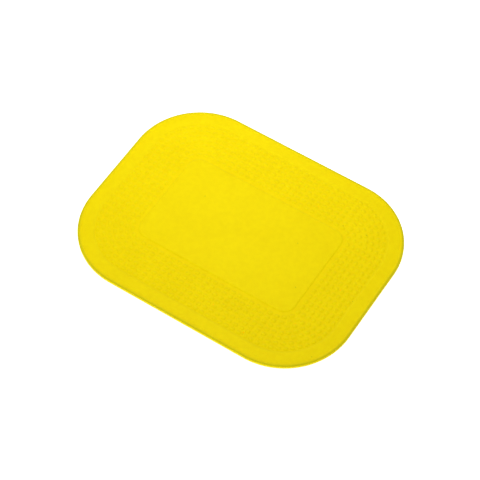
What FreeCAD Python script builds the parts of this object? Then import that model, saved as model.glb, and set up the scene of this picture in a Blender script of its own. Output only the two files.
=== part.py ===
# Anti-slip table mat: one thin soft moulding, flat underneath, divided here along
# the edges of its relief. A rounded lip runs round a flat sheet, which carries a smooth
# border, seven rows of low grip studs that follow the outline, and a smooth centre panel.
# Millimetres, +Z up. The origin is the middle of the underside, with +X along the
# mat's length and +Y across it.

import FreeCAD, Part
import math
import os

from FreeCAD import Vector

# ---- outline, seen from above ------------------------------------------------
LENGTH = 250.0        # overall, along X
WIDTH = 192.0         # overall, along Y
CORNER_R = 61.0       # the four corners of the outline

# ---- heights ---------------------------------------------------------------
SHEET_T = 2.85        # the sheet that carries the border, the studs and the panel
RELIEF_H = 0.25       # border, studs and centre panel, above the sheet
LIP_RISE = 0.1        # how far the lip stands above the border

# ---- zones, measured inwards from the outline ------------------------------
LIP_W = 3.0           # rounded lip, over the mat's full height
BORDER_W = 11.2       # smooth border inside the lip
ROW_COUNT = 7         # rows of studs
ROW_PITCH = 4.8       # from one row to the next
GROOVE_W = 2.4        # open groove between the last row's lane and the panel

# ---- studs -----------------------------------------------------------------
STUD_L = 4.2          # along the row
STUD_W = 3.2          # across the row
STUD_PITCH = 5.73     # along the row's inner side, spread evenly over each side and corner
STUD_CORNER_R = 1.3   # its corners, in plan
STUD_BEVEL = 0.12     # bevel of its top edge

# ---- edges -----------------------------------------------------------------
LIP_TOP_R = 1.2       # rounding of the lip's upper outer edge
LIP_FOOT_R = 0.8      # rounding of the lip's lower outer edge
STEP_R = 0.12         # rounding where the border and the panel drop to the sheet
SMALLEST_R = 1.0      # the tightest corner that an inset outline may take
SAME = 1e-3           # lengths closer than this are taken as equal

# ---- worked out from the above ---------------------------------------------
RELIEF_TOP = SHEET_T + RELIEF_H
LIP_TOP = RELIEF_TOP + LIP_RISE
BORDER_END = LIP_W + BORDER_W
PANEL_OFFSET = BORDER_END + ROW_COUNT * ROW_PITCH + GROOVE_W


def rounded_rectangle(length, width, radius, z):
    """Closed wire of four straight edges and four quarter arcs, centred on the Z axis."""
    half_x = length / 2
    half_y = width / 2
    straight_x = half_x - radius
    straight_y = half_y - radius
    corners = [(straight_x, straight_y, 0), (-straight_x, straight_y, 90),
               (-straight_x, -straight_y, 180), (straight_x, -straight_y, 270)]
    edges = []
    for index, (cx, cy, start) in enumerate(corners):
        points = []
        for turn in (0, 45, 90):
            angle = math.radians(start + turn)
            points.append(Vector(cx + radius * math.cos(angle), cy + radius * math.sin(angle), z))
        edges.append(Part.Arc(points[0], points[1], points[2]).toShape())
        next_cx, next_cy, next_start = corners[(index + 1) % 4]
        angle = math.radians(next_start)
        onward = Vector(next_cx + radius * math.cos(angle), next_cy + radius * math.sin(angle), z)
        edges.append(Part.LineSegment(points[2], onward).toShape())
    return Part.Wire(edges)


def outline_inset(inset, z):
    """The mat's own outline, moved inwards by a distance, at a height."""
    radius = max(CORNER_R - inset, SMALLEST_R)
    return rounded_rectangle(LENGTH - 2 * inset, WIDTH - 2 * inset, radius, z)


def slab(outer, height):
    """Solid of a height that stands on a level wire."""
    return Part.Face(outer).extrude(Vector(0, 0, height))


def ring_slab(outer_inset, inner_inset, z, height):
    """Ring of a height that stands at a level, between two insets of the outline."""
    whole = slab(outline_inset(outer_inset, z), height)
    return whole.cut(slab(outline_inset(inner_inset, z), height)).Solids[0]


def level_edges(solid, z):
    """Edges of a solid that lie level at a height."""
    return [edge for edge in solid.Edges
            if abs(edge.BoundBox.ZMin - z) < SAME and abs(edge.BoundBox.ZMax - z) < SAME]


def edges_at(solid, z, inset):
    """Edges of a solid that lie at a height and on the outline moved in by a distance."""
    half_x = LENGTH / 2 - inset
    half_y = WIDTH / 2 - inset
    radius = max(CORNER_R - inset, SMALLEST_R)
    found = []
    for edge in level_edges(solid, z):
        middle = edge.valueAt((edge.FirstParameter + edge.LastParameter) / 2)
        over_x = max(abs(middle.x) - (half_x - radius), 0)
        over_y = max(abs(middle.y) - (half_y - radius), 0)
        if abs(math.hypot(over_x, over_y) - radius) < SAME:
            found.append(edge)
    return found


def make_sheet():
    """Flat sheet inside the lip, which carries the border, the studs and the panel."""
    return slab(outline_inset(LIP_W, 0), SHEET_T)


def make_lip():
    """Ring round the sheet, rounded outwards, from the underside to the mat's highest level."""
    ring = ring_slab(0, LIP_W, 0, LIP_TOP)
    ring = ring.makeFillet(LIP_TOP_R, edges_at(ring, LIP_TOP, 0))
    return ring.makeFillet(LIP_FOOT_R, edges_at(ring, 0, 0))


def make_border():
    """Smooth ring between the lip and the first row of studs."""
    ring = ring_slab(LIP_W, BORDER_END, SHEET_T, RELIEF_H)
    return ring.makeFillet(STEP_R, edges_at(ring, RELIEF_TOP, BORDER_END))


def make_panel():
    """Smooth pad in the middle, with an open groove all round it."""
    pad = slab(outline_inset(PANEL_OFFSET, SHEET_T), RELIEF_H)
    return pad.makeFillet(STEP_R, level_edges(pad, RELIEF_TOP))


def make_stud():
    """One grip stud on the sheet, along X, with its inner side on the X axis."""
    stud = slab(rounded_rectangle(STUD_L, STUD_W, STUD_CORNER_R, SHEET_T), RELIEF_H)
    stud = stud.makeChamfer(STUD_BEVEL, level_edges(stud, RELIEF_TOP))
    stud.translate(Vector(0, -STUD_W / 2, 0))
    return stud


def row_places(inset):
    """Places and headings of the studs' inner sides in the row whose middle is at an inset.

    Each side and each corner is filled on its own, so that the rows line up along a side.
    The spacing is along the inner side, so that studs can't meet inside a tight corner.
    """
    places = []
    for edge in outline_inset(inset + STUD_W / 2, 0).Edges:
        count = round(edge.Length / STUD_PITCH)
        for index in range(count):
            parameter = edge.getParameterByLength((index + 0.5) * edge.Length / count)
            point = edge.valueAt(parameter)
            heading = edge.tangentAt(parameter)
            places.append((point, math.degrees(math.atan2(heading.y, heading.x))))
    return places


def make_row(stud, inset):
    """All the studs of one row, as separate solids."""
    copies = []
    for point, heading in row_places(inset):
        copy = stud.copy()
        copy.rotate(Vector(0, 0, 0), Vector(0, 0, 1), heading)
        copy.translate(point)
        copies.append(copy)
    return Part.makeCompound(copies)


nodes = {
    "base_sheet": make_sheet(),
    "edge_lip": make_lip(),
    "smooth_border": make_border(),
    "centre_panel": make_panel(),
}
one_stud = make_stud()
for row in range(ROW_COUNT):
    row_inset = BORDER_END + (row + 0.5) * ROW_PITCH
    nodes["stud_row_%d" % (row + 1)] = make_row(one_stud, row_inset)

os.makedirs("parts", exist_ok=True)
for name, shape in nodes.items():
    box = shape.BoundBox
    print("%-14s solids %3d  volume %9.1f  x %7.2f..%6.2f  y %7.2f..%6.2f  z %.2f..%.2f  valid %s" % (
        name, len(shape.Solids), shape.Volume, box.XMin, box.XMax, box.YMin, box.YMax,
        box.ZMin, box.ZMax, shape.isValid()))
    shape.exportStep("parts/%s.step" % name)
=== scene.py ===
# %% [markdown]
# # A soft anti-slip mat
#
# The object is a thin mat of soft yellow silicone that stops plates and bowls from sliding.
# It lies flat. A rounded lip runs along its edge, then comes a smooth border, then seven rows
# of small grip studs, and a smooth panel fills the middle.
#
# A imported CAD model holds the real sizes. This notebook loads it first and then models every
# zone again with softer, finer shapes, in the same place and in metres.

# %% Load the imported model
import math
import random

import bmesh
import bpy
from mathutils import Matrix, Vector


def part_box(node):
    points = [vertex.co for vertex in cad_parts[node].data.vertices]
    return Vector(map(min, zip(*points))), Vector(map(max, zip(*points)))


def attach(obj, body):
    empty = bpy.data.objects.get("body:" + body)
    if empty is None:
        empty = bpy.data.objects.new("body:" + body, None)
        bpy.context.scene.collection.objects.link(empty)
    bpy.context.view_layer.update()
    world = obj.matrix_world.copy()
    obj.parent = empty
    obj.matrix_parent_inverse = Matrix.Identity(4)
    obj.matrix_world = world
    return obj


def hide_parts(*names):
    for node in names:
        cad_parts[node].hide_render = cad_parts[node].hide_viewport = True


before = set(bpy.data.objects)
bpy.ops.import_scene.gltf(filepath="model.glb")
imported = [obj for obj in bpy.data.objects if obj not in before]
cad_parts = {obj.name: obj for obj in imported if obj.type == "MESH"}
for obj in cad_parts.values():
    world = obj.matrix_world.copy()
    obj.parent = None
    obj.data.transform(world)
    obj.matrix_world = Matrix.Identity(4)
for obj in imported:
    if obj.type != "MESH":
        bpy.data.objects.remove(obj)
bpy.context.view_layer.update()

print("nodes:", sorted(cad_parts))

# %% [markdown]
# ## Sizes
#
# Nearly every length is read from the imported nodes, so the looks can't drift from the design.
# Only what a box can't tell is named here: the radius of the outline's corners, and the
# number, size and spacing of the studs. An inset is a distance inwards from the outline.

# %% Read the sizes from the frame
MM = 0.001
CORNER_R = 61.0 * MM

lip_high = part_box("edge_lip")[1]
sheet_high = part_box("base_sheet")[1]
border_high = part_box("smooth_border")[1]
panel_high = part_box("centre_panel")[1]
first_row_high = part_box("stud_row_1")[1]
last_row_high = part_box("stud_row_7")[1]

HALF_LENGTH = lip_high.x
HALF_WIDTH = lip_high.y
SHEET_TOP = sheet_high.z
RELIEF_TOP = border_high.z
RISE = RELIEF_TOP - SHEET_TOP
LIP_TOP = lip_high.z
LIP_WIDTH = HALF_LENGTH - sheet_high.x
PANEL_INSET = HALF_LENGTH - panel_high.x
print("half length %.4f, half width %.4f" % (HALF_LENGTH, HALF_WIDTH))
print("tops: sheet %.4f, relief %.4f, lip %.4f" % (SHEET_TOP, RELIEF_TOP, LIP_TOP))
print("lip width %.4f, panel inset %.4f" % (LIP_WIDTH, PANEL_INSET))

# %% Name the sizes that belong to the studs
ROW_COUNT = 7
STUD_LENGTH = 4.2 * MM
STUD_WIDTH = 3.2 * MM
STUD_PITCH = 5.73 * MM
STUD_CORNER = 1.3 * MM

FIRST_ROW_INSET = HALF_LENGTH - first_row_high.x + STUD_WIDTH / 2
LAST_ROW_INSET = HALF_LENGTH - last_row_high.x + STUD_WIDTH / 2
ROW_PITCH = (LAST_ROW_INSET - FIRST_ROW_INSET) / (ROW_COUNT - 1)
BORDER_END = FIRST_ROW_INSET - ROW_PITCH / 2
print("rows from %.4f to %.4f, %.4f apart" % (FIRST_ROW_INSET, LAST_ROW_INSET, ROW_PITCH))
print("the border ends %.4f inside the outline" % BORDER_END)

# %% [markdown]
# ## Camera
#
# A long lens from a metre and a half away keeps the far edge nearly as long as the near one.
# The mat is seen from above its front right corner. The small shift lifts the picture a
# little, which is how a lens is used to frame without turning the camera.

# %% Place the camera
AZIMUTH = math.radians(32.95)
ELEVATION = math.radians(56.5)
CAMERA_DISTANCE = 1.50
SENSOR_WIDTH = 36
FOCAL_LENGTH = 137.3
SHIFT_X = -0.001
SHIFT_Y = -0.0092

towards_camera = Vector((math.sin(AZIMUTH) * math.cos(ELEVATION),
                         -math.cos(AZIMUTH) * math.cos(ELEVATION),
                         math.sin(ELEVATION)))
bpy.ops.object.camera_add(location=towards_camera * CAMERA_DISTANCE,
                          rotation=(math.pi / 2 - ELEVATION, 0, AZIMUTH))
camera = bpy.context.object
camera.name = "product_camera"
camera.data.sensor_width = SENSOR_WIDTH
camera.data.lens = FOCAL_LENGTH
camera.data.shift_x = SHIFT_X
camera.data.shift_y = SHIFT_Y
bpy.context.scene.camera = camera
print("camera at", [round(value, 3) for value in camera.location])

# %% [markdown]
# ## Floor and light
#
# The mat lies on a plain white table. Relief this low only shows when the light comes more
# from one side than from the other. So a soft square panel, the key light, hangs close over
# the far left corner: that corner is the brightest, and the light falls off towards the near
# right one. A second soft panel stands low and far off in front and lifts the slopes that
# face it. A white sky all round gives the rest. A saturated yellow loses its strength under
# a film-like tone curve, so the plain one is chosen.

# %% Lay the table
TABLE_SIZE = 8
TABLE_GAP = 0.1 * MM      # the table lies this far under the mat, so that no faces coincide

bpy.context.scene.view_settings.view_transform = "Standard"
bpy.ops.object.select_all(action="DESELECT")
bpy.ops.mesh.primitive_plane_add(size=TABLE_SIZE, location=(0, 0, -TABLE_GAP))
table = bpy.context.object
table.name = "white_table"
print(table.name, "is", TABLE_SIZE, "metres wide")

# %% Set the lights
KEY_PLACE = (-0.15, 0.20, 0.50)
KEY_AIM = (-0.13, 0.18, 0)
KEY_SIZE = 0.30
KEY_WATTS = 1.9
FILL_PLACE = (0, -1.6, 0.55)
FILL_AIM = (0, 0, 0)
FILL_SIZE = 0.8
FILL_WATTS = 8.5
SKY_STRENGTH = 0.555


def add_soft_light(name, place, aim, size, watts):
    """A square area light that faces a point."""
    direction = Vector(aim) - Vector(place)
    turn = direction.to_track_quat("-Z", "Y").to_euler()
    bpy.ops.object.light_add(type="AREA", location=place, rotation=turn)
    light = bpy.context.object
    light.name = name
    light.data.shape = "SQUARE"
    light.data.size = size
    light.data.energy = watts
    print(name, watts, "watts")


add_soft_light("key_light", KEY_PLACE, KEY_AIM, KEY_SIZE, KEY_WATTS)
add_soft_light("fill_light", FILL_PLACE, FILL_AIM, FILL_SIZE, FILL_WATTS)

sky = bpy.data.worlds.new("white_studio")
sky.use_nodes = True
sky.node_tree.nodes["Background"].inputs["Color"].default_value = (1, 1, 1, 1)
sky.node_tree.nodes["Background"].inputs["Strength"].default_value = SKY_STRENGTH
bpy.context.scene.world = sky

# %% [markdown]
# ## Shader maths in plain Python
#
# A pattern in a material is arithmetic on coordinates. Wiring every sum by hand hides the
# idea, so a small class stands for one output of one node, and its operators add the Math
# nodes. Another class makes a material and adds any other node.

# %% Write the class for one output of a node
class Wire:
    """One output of a node. Arithmetic on it adds Math nodes."""

    def __init__(self, finish, socket):
        self.finish = finish
        self.socket = socket

    def maths(self, operation, *others):
        inputs = dict(enumerate((self,) + others))
        return self.finish.add("ShaderNodeMath", {"operation": operation}, inputs, "Value")

    def __add__(self, other):
        return self.maths("ADD", other)

    def __radd__(self, other):
        return self.maths("ADD", other)

    def __sub__(self, other):
        return self.maths("SUBTRACT", other)

    def __rsub__(self, other):
        return self.maths("MULTIPLY_ADD", -1, other)

    def __mul__(self, other):
        return self.maths("MULTIPLY", other)

    def __rmul__(self, other):
        return self.maths("MULTIPLY", other)

    def __abs__(self):
        return self.maths("ABSOLUTE")

    def root(self):
        return self.maths("SQRT")

    def at_least(self, other):
        return self.maths("MAXIMUM", other)

    def ramp(self, start, end):
        """0 before start, 1 after end, and smooth between them."""
        inputs = {"Value": self, "From Min": start, "From Max": end}
        settings = {"interpolation_type": "SMOOTHSTEP"}
        return self.finish.add("ShaderNodeMapRange", settings, inputs, "Result")


print("Wire knows the sums that the patterns below need")

# %% Write the class for a material
class Finish:
    """A material in the making, with one method that adds a node of any type."""

    def __init__(self, name):
        self.material = bpy.data.materials.new(name)
        self.material.use_nodes = True
        self.tree = self.material.node_tree
        self.shader = self.tree.nodes["Principled BSDF"]

    def add(self, kind, settings, inputs, output):
        node = self.tree.nodes.new(kind)
        for setting, value in settings.items():
            setattr(node, setting, value)
        for socket, value in inputs.items():
            self.plug(node.inputs[socket], value)
        return Wire(self, node.outputs[output])

    def plug(self, socket, value):
        if isinstance(value, Wire):
            self.tree.links.new(value.socket, socket)
        else:
            socket.default_value = value

    def place(self):
        """Object coordinates, which are the mat's own metres."""
        return self.add("ShaderNodeTexCoord", {}, {}, "Object")

    def split(self, vector):
        """The three numbers of a vector."""
        first = self.add("ShaderNodeSeparateXYZ", {}, {"Vector": vector}, "X")
        outputs = first.socket.node.outputs
        return first, Wire(self, outputs["Y"]), Wire(self, outputs["Z"])

    def noise(self, scale, detail):
        """Soft noise from 0 to 1 with a number of patches to the metre."""
        inputs = {"Vector": self.place(), "Scale": scale, "Detail": detail}
        return self.add("ShaderNodeTexNoise", {}, inputs, "Fac")

    def blend(self, amount, first, second):
        """A colour between two, where 0 gives the first."""
        settings = {"data_type": "RGBA"}
        inputs = {0: amount, 6: first, 7: second}
        return self.add("ShaderNodeMix", settings, inputs, 2)

    def bump(self, height, depth):
        """A normal that pretends the surface rises by depth metres where height is 1."""
        inputs = {"Strength": 1.0, "Distance": depth, "Height": height}
        return self.add("ShaderNodeBump", {}, inputs, "Normal")


print("Finish adds any node that Wire doesn't")

# %% [markdown]
# ## The colours of the silicone
#
# Silicone is one colour all through, so what varies is small. Broad clouds and a finer mottle
# in the pigment move it between two near yellows, and a few specks in it are darker. Along the
# shoulder of the lip a painted shade turns the yellow deeper and greener, in place of the shade
# on the rounded edge, and the wall below it keeps a weaker share of that painted shade.
#
# A picture of the surface could hold all this, but it would blur close up. Patterns worked out
# from the place of each point stay sharp. The shoulder needs the distance from the outline.
# For a rounded rectangle that is the corner radius less the distance past the corner's centre.

# %% Name the colours and the patterns
YELLOW = (0.830, 0.645, 0.0012, 1)
YELLOW_DEEP = (0.785, 0.600, 0.0008, 1)
# olive for the darker specks and for the painted shade along the lip's shoulder and wall
OLIVE_SPECK_AND_RIM_SHADE = (0.18, 0.29, 0.01, 1)

CLOUD_SCALE = 28          # patches to the metre
MOTTLE_SCALE = 240
CLOUD_SHARE = 0.4         # of the change between the two yellows
MOTTLE_SHARE = 0.6
SPECK_SCALE = 45          # cells to the metre, of which few hold a speck
SPECK_CORE = 0.012        # in parts of a cell
SPECK_EDGE = 0.026
SPECK_CHANCE = 0.90       # the share of cells that stay empty
SPECK_STRENGTH = 0.5
# the strength, wall share and widths of the painted shade along the lip's edge
RIM_SHADE_STRENGTH = 0.37
WALL_SHADE_SHARE = 0.3          # how much of the rim's tone the wall keeps
SHOULDER_START = 0.05 * MM
SHOULDER_FULL = 0.6 * MM
RIM_FADE_START = 1.0 * MM
RIM_FADE_END = 3.2 * MM
print("yellow from", YELLOW_DEEP[:3], "to", YELLOW[:3])

# %% Write the patterns of the silicone
def edge_inset(finish):
    """How far a point of the surface lies inside the outline, in metres."""
    x, y, _ = finish.split(finish.place())
    over_x = (abs(x) - (HALF_LENGTH - CORNER_R)).at_least(0)
    over_y = (abs(y) - (HALF_WIDTH - CORNER_R)).at_least(0)
    return CORNER_R - (over_x * over_x + over_y * over_y).root()


def painted_rim_shade(finish):
    """Painted shade along the edge: 1 on the shoulder of the lip, less on its wall, and 0
    further in.
    """
    inset = edge_inset(finish)
    shoulder = inset.ramp(SHOULDER_START, SHOULDER_FULL)
    faded = 1 - inset.ramp(RIM_FADE_START, RIM_FADE_END)
    return faded * (WALL_SHADE_SHARE + shoulder * (1 - WALL_SHADE_SHARE))


def specks(finish):
    """1 at a few small specks of darker pigment, and 0 elsewhere."""
    settings = {"voronoi_dimensions": "2D"}
    inputs = {"Vector": finish.place(), "Scale": SPECK_SCALE}
    distance = finish.add("ShaderNodeTexVoronoi", settings, inputs, "Distance")
    chance, _, _ = finish.split(Wire(finish, distance.socket.node.outputs["Color"]))
    dot = 1 - distance.ramp(SPECK_CORE, SPECK_EDGE)
    return dot * chance.ramp(SPECK_CHANCE, SPECK_CHANCE + 0.01)


def pigment(finish):
    """The colour of the silicone at every point, with the painted shade along the lip's edge.
    """
    clouds = finish.noise(CLOUD_SCALE, 3).ramp(0.3, 0.7)
    mottle = finish.noise(MOTTLE_SCALE, 3).ramp(0.3, 0.7)
    yellow = finish.blend(clouds * CLOUD_SHARE + mottle * MOTTLE_SHARE, YELLOW_DEEP, YELLOW)
    # painted shade along the lip's shoulder and wall, or a real dark speck, whichever is
    # stronger
    speck_or_rim_shade = (painted_rim_shade(finish) * RIM_SHADE_STRENGTH).at_least(specks(finish) * SPECK_STRENGTH)
    return finish.blend(speck_or_rim_shade, yellow, OLIVE_SPECK_AND_RIM_SHADE)


# the rim's tone is the painted shade along the lip's edge
print("the pigment mixes clouds, mottle, specks and the rim's tone")

# %% [markdown]
# ## The feel of the silicone
#
# Moulded silicone is satin. A fine grain from the mould breaks up the highlight, and the
# roughness drifts a little from place to place. The highlight of a white sky would turn
# the yellow pale, so it is kept weak and tinted. A little light also goes in and comes out
# again close by, as in all soft, slightly cloudy materials.
#
# The same recipe serves three times: the sheet between the studs is the dullest and has
# the deepest grain, and the smooth zones are the glossiest.

# %% Mix the silicone
ROUGHNESS_SCALE = 420     # patches to the metre
ROUGHNESS_DRIFT = 0.12
GRAIN_SCALE = 2600
FINE_GRAIN = 0.02 * MM
DEEP_GRAIN = 0.04 * MM
SHINE = 0.20
SHINE_TINT = (1.0, 0.85, 0.0, 1)
SOFT_LIGHT_SHARE = 0.15
SOFT_LIGHT_REACH = 1.0 * MM
SOFT_LIGHT_COLOURS = (1.0, 0.7, 0.05)


def make_silicone(name, grain_depth, roughness):
    """Moulded silicone with a grain of a given depth and a given roughness."""
    finish = Finish(name)
    finish.plug(finish.shader.inputs["Base Color"], pigment(finish))
    drift = (finish.noise(ROUGHNESS_SCALE, 2) - 0.5) * ROUGHNESS_DRIFT
    finish.plug(finish.shader.inputs["Roughness"], roughness + drift)
    grain = finish.noise(GRAIN_SCALE, 1)
    finish.plug(finish.shader.inputs["Normal"], finish.bump(grain, grain_depth))
    finish.shader.inputs["Specular IOR Level"].default_value = SHINE
    finish.shader.inputs["Specular Tint"].default_value = SHINE_TINT
    finish.shader.inputs["Subsurface Weight"].default_value = SOFT_LIGHT_SHARE
    finish.shader.inputs["Subsurface Radius"].default_value = SOFT_LIGHT_COLOURS
    finish.shader.inputs["Subsurface Scale"].default_value = SOFT_LIGHT_REACH
    print(name, "has", len(finish.tree.nodes), "nodes")
    return finish.material


smooth_silicone = make_silicone("smooth_silicone", FINE_GRAIN, 0.42)
stud_silicone = make_silicone("stud_silicone", FINE_GRAIN, 0.45)
sheet_silicone = make_silicone("sheet_silicone", DEEP_GRAIN, 0.50)

# %% [markdown]
# ## The table's finish
#
# The table is only the ground. It is plain white and glows a little, as a sheet of opal
# acrylic does when it is lit from below, so the mat's soft shadow doesn't show on it and
# nothing draws the eye from the mat.

# %% Finish the table
TABLE_WHITE = (0.80, 0.80, 0.80, 1)
TABLE_GLOW = 0.90

table_finish = Finish("white_table_top")
table_finish.shader.inputs["Base Color"].default_value = TABLE_WHITE
table_finish.shader.inputs["Emission Color"].default_value = (1, 1, 1, 1)
table_finish.shader.inputs["Emission Strength"].default_value = TABLE_GLOW
table_finish.shader.inputs["Roughness"].default_value = 0.6
table_finish.shader.inputs["Specular IOR Level"].default_value = 0.2
table.data.materials.append(table_finish.material)
print("the table wears", table_finish.material.name)

# %% [markdown]
# ## Tools for the outline
#
# Every zone starts from the same rounded rectangle. A plane is added and its four corner
# points are bevelled, which turns each into a true arc. A plate is that face drawn upwards.
# A ring is a plate with a smaller copy inset and taken out.
#
# The zones differ in their edges, so a tool finds the edges that run at a given inset and
# height. It looks at where they lie, because the numbers of edges change with every step.

# %% Draw a plate and find its edges
CORNER_STEPS = 40
TINY = 0.01 * MM


def add_outline_plate(name, inset, height):
    """A flat face of the mat's outline, moved inwards, left in edit mode with all selected."""
    bpy.ops.object.select_all(action="DESELECT")
    bpy.ops.mesh.primitive_plane_add(size=2, location=(0, 0, height))
    plate = bpy.context.object
    plate.name = name
    plate.scale = (HALF_LENGTH - inset, HALF_WIDTH - inset, 1)
    bpy.ops.object.transform_apply(location=True, rotation=True, scale=True)
    bpy.ops.object.mode_set(mode="EDIT")
    bpy.ops.mesh.select_all(action="SELECT")
    bpy.ops.mesh.bevel(offset=CORNER_R - inset, segments=CORNER_STEPS, affect="VERTICES")
    return plate


def inset_of(point):
    """How far a point lies inside the outline."""
    over_x = max(abs(point.x) - (HALF_LENGTH - CORNER_R), 0)
    over_y = max(abs(point.y) - (HALF_WIDTH - CORNER_R), 0)
    return CORNER_R - math.hypot(over_x, over_y)


def select_edges(inset, height):
    """Selects the edges of the open mesh that run at an inset and a height."""
    bpy.ops.mesh.select_mode(type="EDGE")
    bpy.ops.mesh.select_all(action="DESELECT")
    mesh = bmesh.from_edit_mesh(bpy.context.object.data)
    for edge in mesh.edges:
        on_line = all(abs(inset_of(end.co) - inset) < TINY and abs(end.co.z - height) < TINY
                      for end in edge.verts)
        if on_line:
            edge.select_set(True)
    bmesh.update_edit_mesh(bpy.context.object.data)


print("a corner is drawn in", CORNER_STEPS, "steps")

# %% Raise, ring and round
def raise_plate(height):
    """Extrudes the whole open plate upwards into a closed solid."""
    bpy.ops.mesh.select_all(action="SELECT")
    bpy.ops.mesh.extrude_region_move(TRANSFORM_OT_translate={"value": (0, 0, height)})


def make_ring(name, outer_inset, width, low, high):
    """A closed ring between two heights, left in edit mode."""
    ring = add_outline_plate(name, outer_inset, low)
    bpy.ops.mesh.inset(thickness=width, depth=0)
    bpy.ops.mesh.delete(type="FACE")
    raise_plate(high - low)
    return ring


def round_edges(inset, height, radius, steps):
    """Bevels the edges that run at an inset and a height."""
    select_edges(inset, height)
    bpy.ops.mesh.bevel(offset=radius, segments=steps, affect="EDGES")


print("plates and rings can be raised and rounded")

# %% [markdown]
# ## Tools for soft slopes
#
# The relief rises by a quarter of a millimetre over one or two. No bevel is that flat, so a
# slope is made by insets: each moves the rim of a face inwards and a little up or down. The
# heights follow a sine, steep at the foot and level at the crest, which is how a soft moulding
# swells out of its sheet.

# %% Write the slopes and the closing step
SMOOTH_ANGLE = math.radians(40)


def swell(part):
    """The height of a soft slope, from 0 at its foot to 1 at its crest, where it is level."""
    return math.sin(part * math.pi / 2)


def climb(width, rise, steps):
    """Insets the selected face step by step, so that its rim swells up to a new height."""
    for step in range(steps):
        depth = rise * (swell((step + 1) / steps) - swell(step / steps))
        bpy.ops.mesh.inset(thickness=width / steps, depth=depth)


def descend(width, drop, steps):
    """The same slope seen from its crest: the rim stays high and the face sinks inside it."""
    for step in range(steps):
        depth = drop * (swell(1 - (step + 1) / steps) - swell(1 - step / steps))
        bpy.ops.mesh.inset(thickness=width / steps, depth=depth)


def close_piece(piece, material, node):
    """Leaves edit mode, turns the normals outwards, and hands the piece to the frame."""
    bpy.ops.mesh.select_all(action="SELECT")
    bpy.ops.mesh.normals_make_consistent(inside=False)
    bpy.ops.object.mode_set(mode="OBJECT")
    bpy.ops.object.shade_smooth_by_angle(angle=SMOOTH_ANGLE)
    piece.data.materials.append(material)
    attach(piece, "root")
    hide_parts(node)
    print(piece.name, "faces", len(piece.data.polygons))


print("half way up, a slope has reached %.2f of its height" % swell(0.5))

# %% [markdown]
# ## The sheet
#
# The sheet is the body of the mat and lies on the table. The lip closes it in, so it needs no
# rounding of its own: a plate of the outline is drawn straight up.

# %% Model the sheet
sheet = add_outline_plate("soft_sheet", LIP_WIDTH, 0)
raise_plate(SHEET_TOP)
close_piece(sheet, sheet_silicone, "base_sheet")

# %% [markdown]
# ## The lip
#
# The lip is a bead round the sheet, rounded above and below on the outside, and barely higher
# than the border inside it. A bead could be swept along the outline, but a ring with bevelled
# edges keeps its flat underside and its exact width.

# %% Model the lip
LIP_TOP_ROUND = 1.2 * MM
LIP_FOOT_ROUND = 0.8 * MM
LIP_INNER_ROUND = 0.08 * MM

lip = make_ring("soft_lip", 0, LIP_WIDTH, 0, LIP_TOP)
round_edges(0, LIP_TOP, LIP_TOP_ROUND, 6)
round_edges(0, 0, LIP_FOOT_ROUND, 4)
round_edges(LIP_WIDTH, LIP_TOP, LIP_INNER_ROUND, 2)
close_piece(lip, smooth_silicone, "edge_lip")

# %% [markdown]
# ## The border
#
# The border is a smooth skin on the sheet that thins out towards the studs. Its top is drawn
# as a plate, the plate sinks inwards in a soft slope, and what is left inside is cut out.
# Then the outer edge is drawn down to the sheet, and its foot is bridged to the foot of the
# slope, which gives the floor and closes the ring.

# %% Model the top and the slope of the border
BORDER_SLOPE = 2.2 * MM
BORDER_STEPS = 6

border = add_outline_plate("soft_border", LIP_WIDTH, RELIEF_TOP)
bpy.ops.mesh.inset(thickness=BORDER_END - LIP_WIDTH - BORDER_SLOPE, depth=0)
descend(BORDER_SLOPE, RISE, BORDER_STEPS)
bpy.ops.mesh.delete(type="FACE")
print("the border thins out over %.1f mm" % (BORDER_SLOPE / MM))

# %% Close the border
select_edges(LIP_WIDTH, RELIEF_TOP)
bpy.ops.mesh.extrude_region_move(TRANSFORM_OT_translate={"value": (0, 0, -RISE)})
select_edges(LIP_WIDTH, SHEET_TOP)
wall_foot = [edge.index for edge in bmesh.from_edit_mesh(border.data).edges if edge.select]
select_edges(BORDER_END, SHEET_TOP)
mesh = bmesh.from_edit_mesh(border.data)
mesh.edges.ensure_lookup_table()
for index in wall_foot:
    mesh.edges[index].select_set(True)
bmesh.update_edit_mesh(border.data)
bpy.ops.mesh.bridge_edge_loops()
close_piece(border, smooth_silicone, "smooth_border")

# %% [markdown]
# ## The centre panel
#
# The panel is a plain pad with a groove round it. Its rim swells up softly from the sheet,
# like the border's, but over a shorter way, so a faint line of light runs along it. Its
# underside is one face over the open edge.

# %% Model the centre panel
PANEL_SLOPE = 1.3 * MM
PANEL_STEPS = 5

panel = add_outline_plate("soft_panel", PANEL_INSET, SHEET_TOP)
climb(PANEL_SLOPE, RISE, PANEL_STEPS)
select_edges(PANEL_INSET, SHEET_TOP)
bpy.ops.mesh.edge_face_add()
close_piece(panel, smooth_silicone, "centre_panel")

# %% [markdown]
# ## One stud
#
# There are hundreds of studs, so one is modelled with few faces and copied. A hard block would
# be wrong: on soft silicone each is a flat pillow that grows out of the sheet with no corner.
# Its plan is a plane with bevelled corner points, and the plane is inset and raised in three
# steps.

# %% Model one stud
STUD_SLOPE = 1.1 * MM
STUD_STEPS = 3
STUD_CORNER_STEPS = 3
STUD_SMOOTH_ANGLE = math.radians(50)


def close_underside(piece):
    """Fills the open edge of the mesh that is being edited."""
    bpy.ops.mesh.select_mode(type="EDGE")
    bpy.ops.mesh.select_all(action="DESELECT")
    mesh = bmesh.from_edit_mesh(piece.data)
    for edge in mesh.edges:
        edge.select_set(edge.is_boundary)
    bmesh.update_edit_mesh(piece.data)
    bpy.ops.mesh.edge_face_add()


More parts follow.
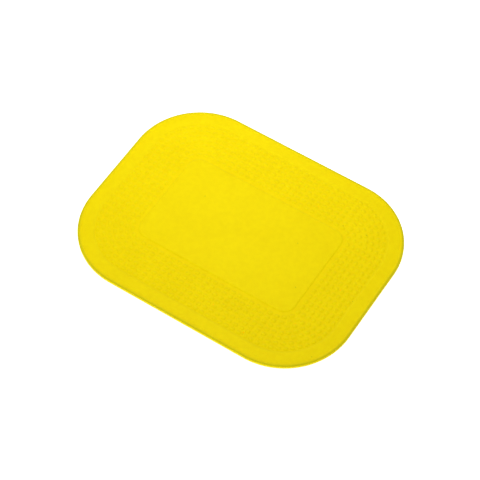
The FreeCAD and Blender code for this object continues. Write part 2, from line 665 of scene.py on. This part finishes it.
def model_stud():
    """One grip stud on the sheet, along X, with the middle of its inner side at the origin."""
    bpy.ops.object.select_all(action="DESELECT")
    bpy.ops.mesh.primitive_plane_add(size=1, location=(0, -STUD_WIDTH / 2, SHEET_TOP))
    stud = bpy.context.object
    stud.name = "one_stud"
    stud.scale = (STUD_LENGTH, STUD_WIDTH, 1)
    bpy.ops.object.transform_apply(location=True, rotation=True, scale=True)
    bpy.ops.object.mode_set(mode="EDIT")
    bpy.ops.mesh.select_all(action="SELECT")
    bpy.ops.mesh.bevel(offset=STUD_CORNER, segments=STUD_CORNER_STEPS, affect="VERTICES")
    climb(STUD_SLOPE, RISE, STUD_STEPS)
    close_underside(stud)
    bpy.ops.mesh.select_all(action="SELECT")
    bpy.ops.mesh.normals_make_consistent(inside=False)
    bpy.ops.object.mode_set(mode="OBJECT")
    bpy.ops.object.shade_smooth_by_angle(angle=STUD_SMOOTH_ANGLE)
    stud.data.materials.append(stud_silicone)
    return stud


one_stud = model_stud()
print("one stud has", len(one_stud.data.polygons), "faces")

# %% [markdown]
# ## Where the studs stand
#
# The rows follow the outline, each a little further in. If a row were filled in one go from a
# single start, the studs of neighbouring rows would drift out of line. So each corner and each
# side is filled on its own: along a side the studs stand in columns, and round a corner they
# fan out. The spacing is counted along the inner side of the studs, so that they can't meet
# inside a tight corner.

# %% Find the places of the studs in a row
def spread(length):
    """Even places along a run, half a space from either end."""
    count = round(length / STUD_PITCH)
    return [(index + 0.5) * length / count for index in range(count)]


def row_places(inset):
    """Points and headings along the outline moved inwards, counter-clockwise."""
    radius = CORNER_R - inset
    centre_x = HALF_LENGTH - CORNER_R
    centre_y = HALF_WIDTH - CORNER_R
    corners = [(centre_x, centre_y, 2 * centre_x), (-centre_x, centre_y, 2 * centre_y),
               (-centre_x, -centre_y, 2 * centre_x), (centre_x, -centre_y, 2 * centre_y)]
    places = []
    for quarter, (corner_x, corner_y, side) in enumerate(corners):
        start = quarter * math.pi / 2
        for along in spread(radius * math.pi / 2):
            angle = start + along / radius
            x = corner_x + radius * math.cos(angle)
            y = corner_y + radius * math.sin(angle)
            places.append((x, y, angle + math.pi / 2))
        end = start + math.pi / 2
        for along in spread(side):
            x = corner_x + radius * math.cos(end) - along * math.sin(end)
            y = corner_y + radius * math.sin(end) + along * math.cos(end)
            places.append((x, y, end + math.pi / 2))
    return places


print("the first row has", len(row_places(FIRST_ROW_INSET + STUD_WIDTH / 2)), "studs")

# %% [markdown]
# ## The rows of studs
#
# Each copy gets its own mesh, turned to follow its row and moved to its place, so the object
# itself stays at the origin. A hand-cut mould is never quite even, so each stud is turned by
# a hair more or less, from a fixed seed. Then a row is joined into one piece.

# %% Copy the stud along every row
WOBBLE = 0.02             # radians, either way
random.seed(7)


def make_row(number):
    """One row of studs, joined into a single piece."""
    inset = FIRST_ROW_INSET + (number - 1) * ROW_PITCH
    copies = []
    for x, y, heading in row_places(inset + STUD_WIDTH / 2):
        copy = one_stud.copy()
        copy.data = one_stud.data.copy()
        turn = Matrix.Rotation(heading + random.uniform(-WOBBLE, WOBBLE), 4, "Z")
        copy.data.transform(Matrix.Translation((x, y, 0)) @ turn)
        bpy.context.collection.objects.link(copy)
        copies.append(copy)
    bpy.ops.object.select_all(action="DESELECT")
    for copy in copies:
        copy.select_set(True)
    bpy.context.view_layer.objects.active = copies[0]
    bpy.ops.object.join()
    row = bpy.context.object
    row.name = "grip_row_%d" % number
    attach(row, "root")
    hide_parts("stud_row_%d" % number)
    print(row.name, "studs", len(copies), "faces", len(row.data.polygons))


for row_number in range(1, ROW_COUNT + 1):
    make_row(row_number)
bpy.data.objects.remove(one_stud)
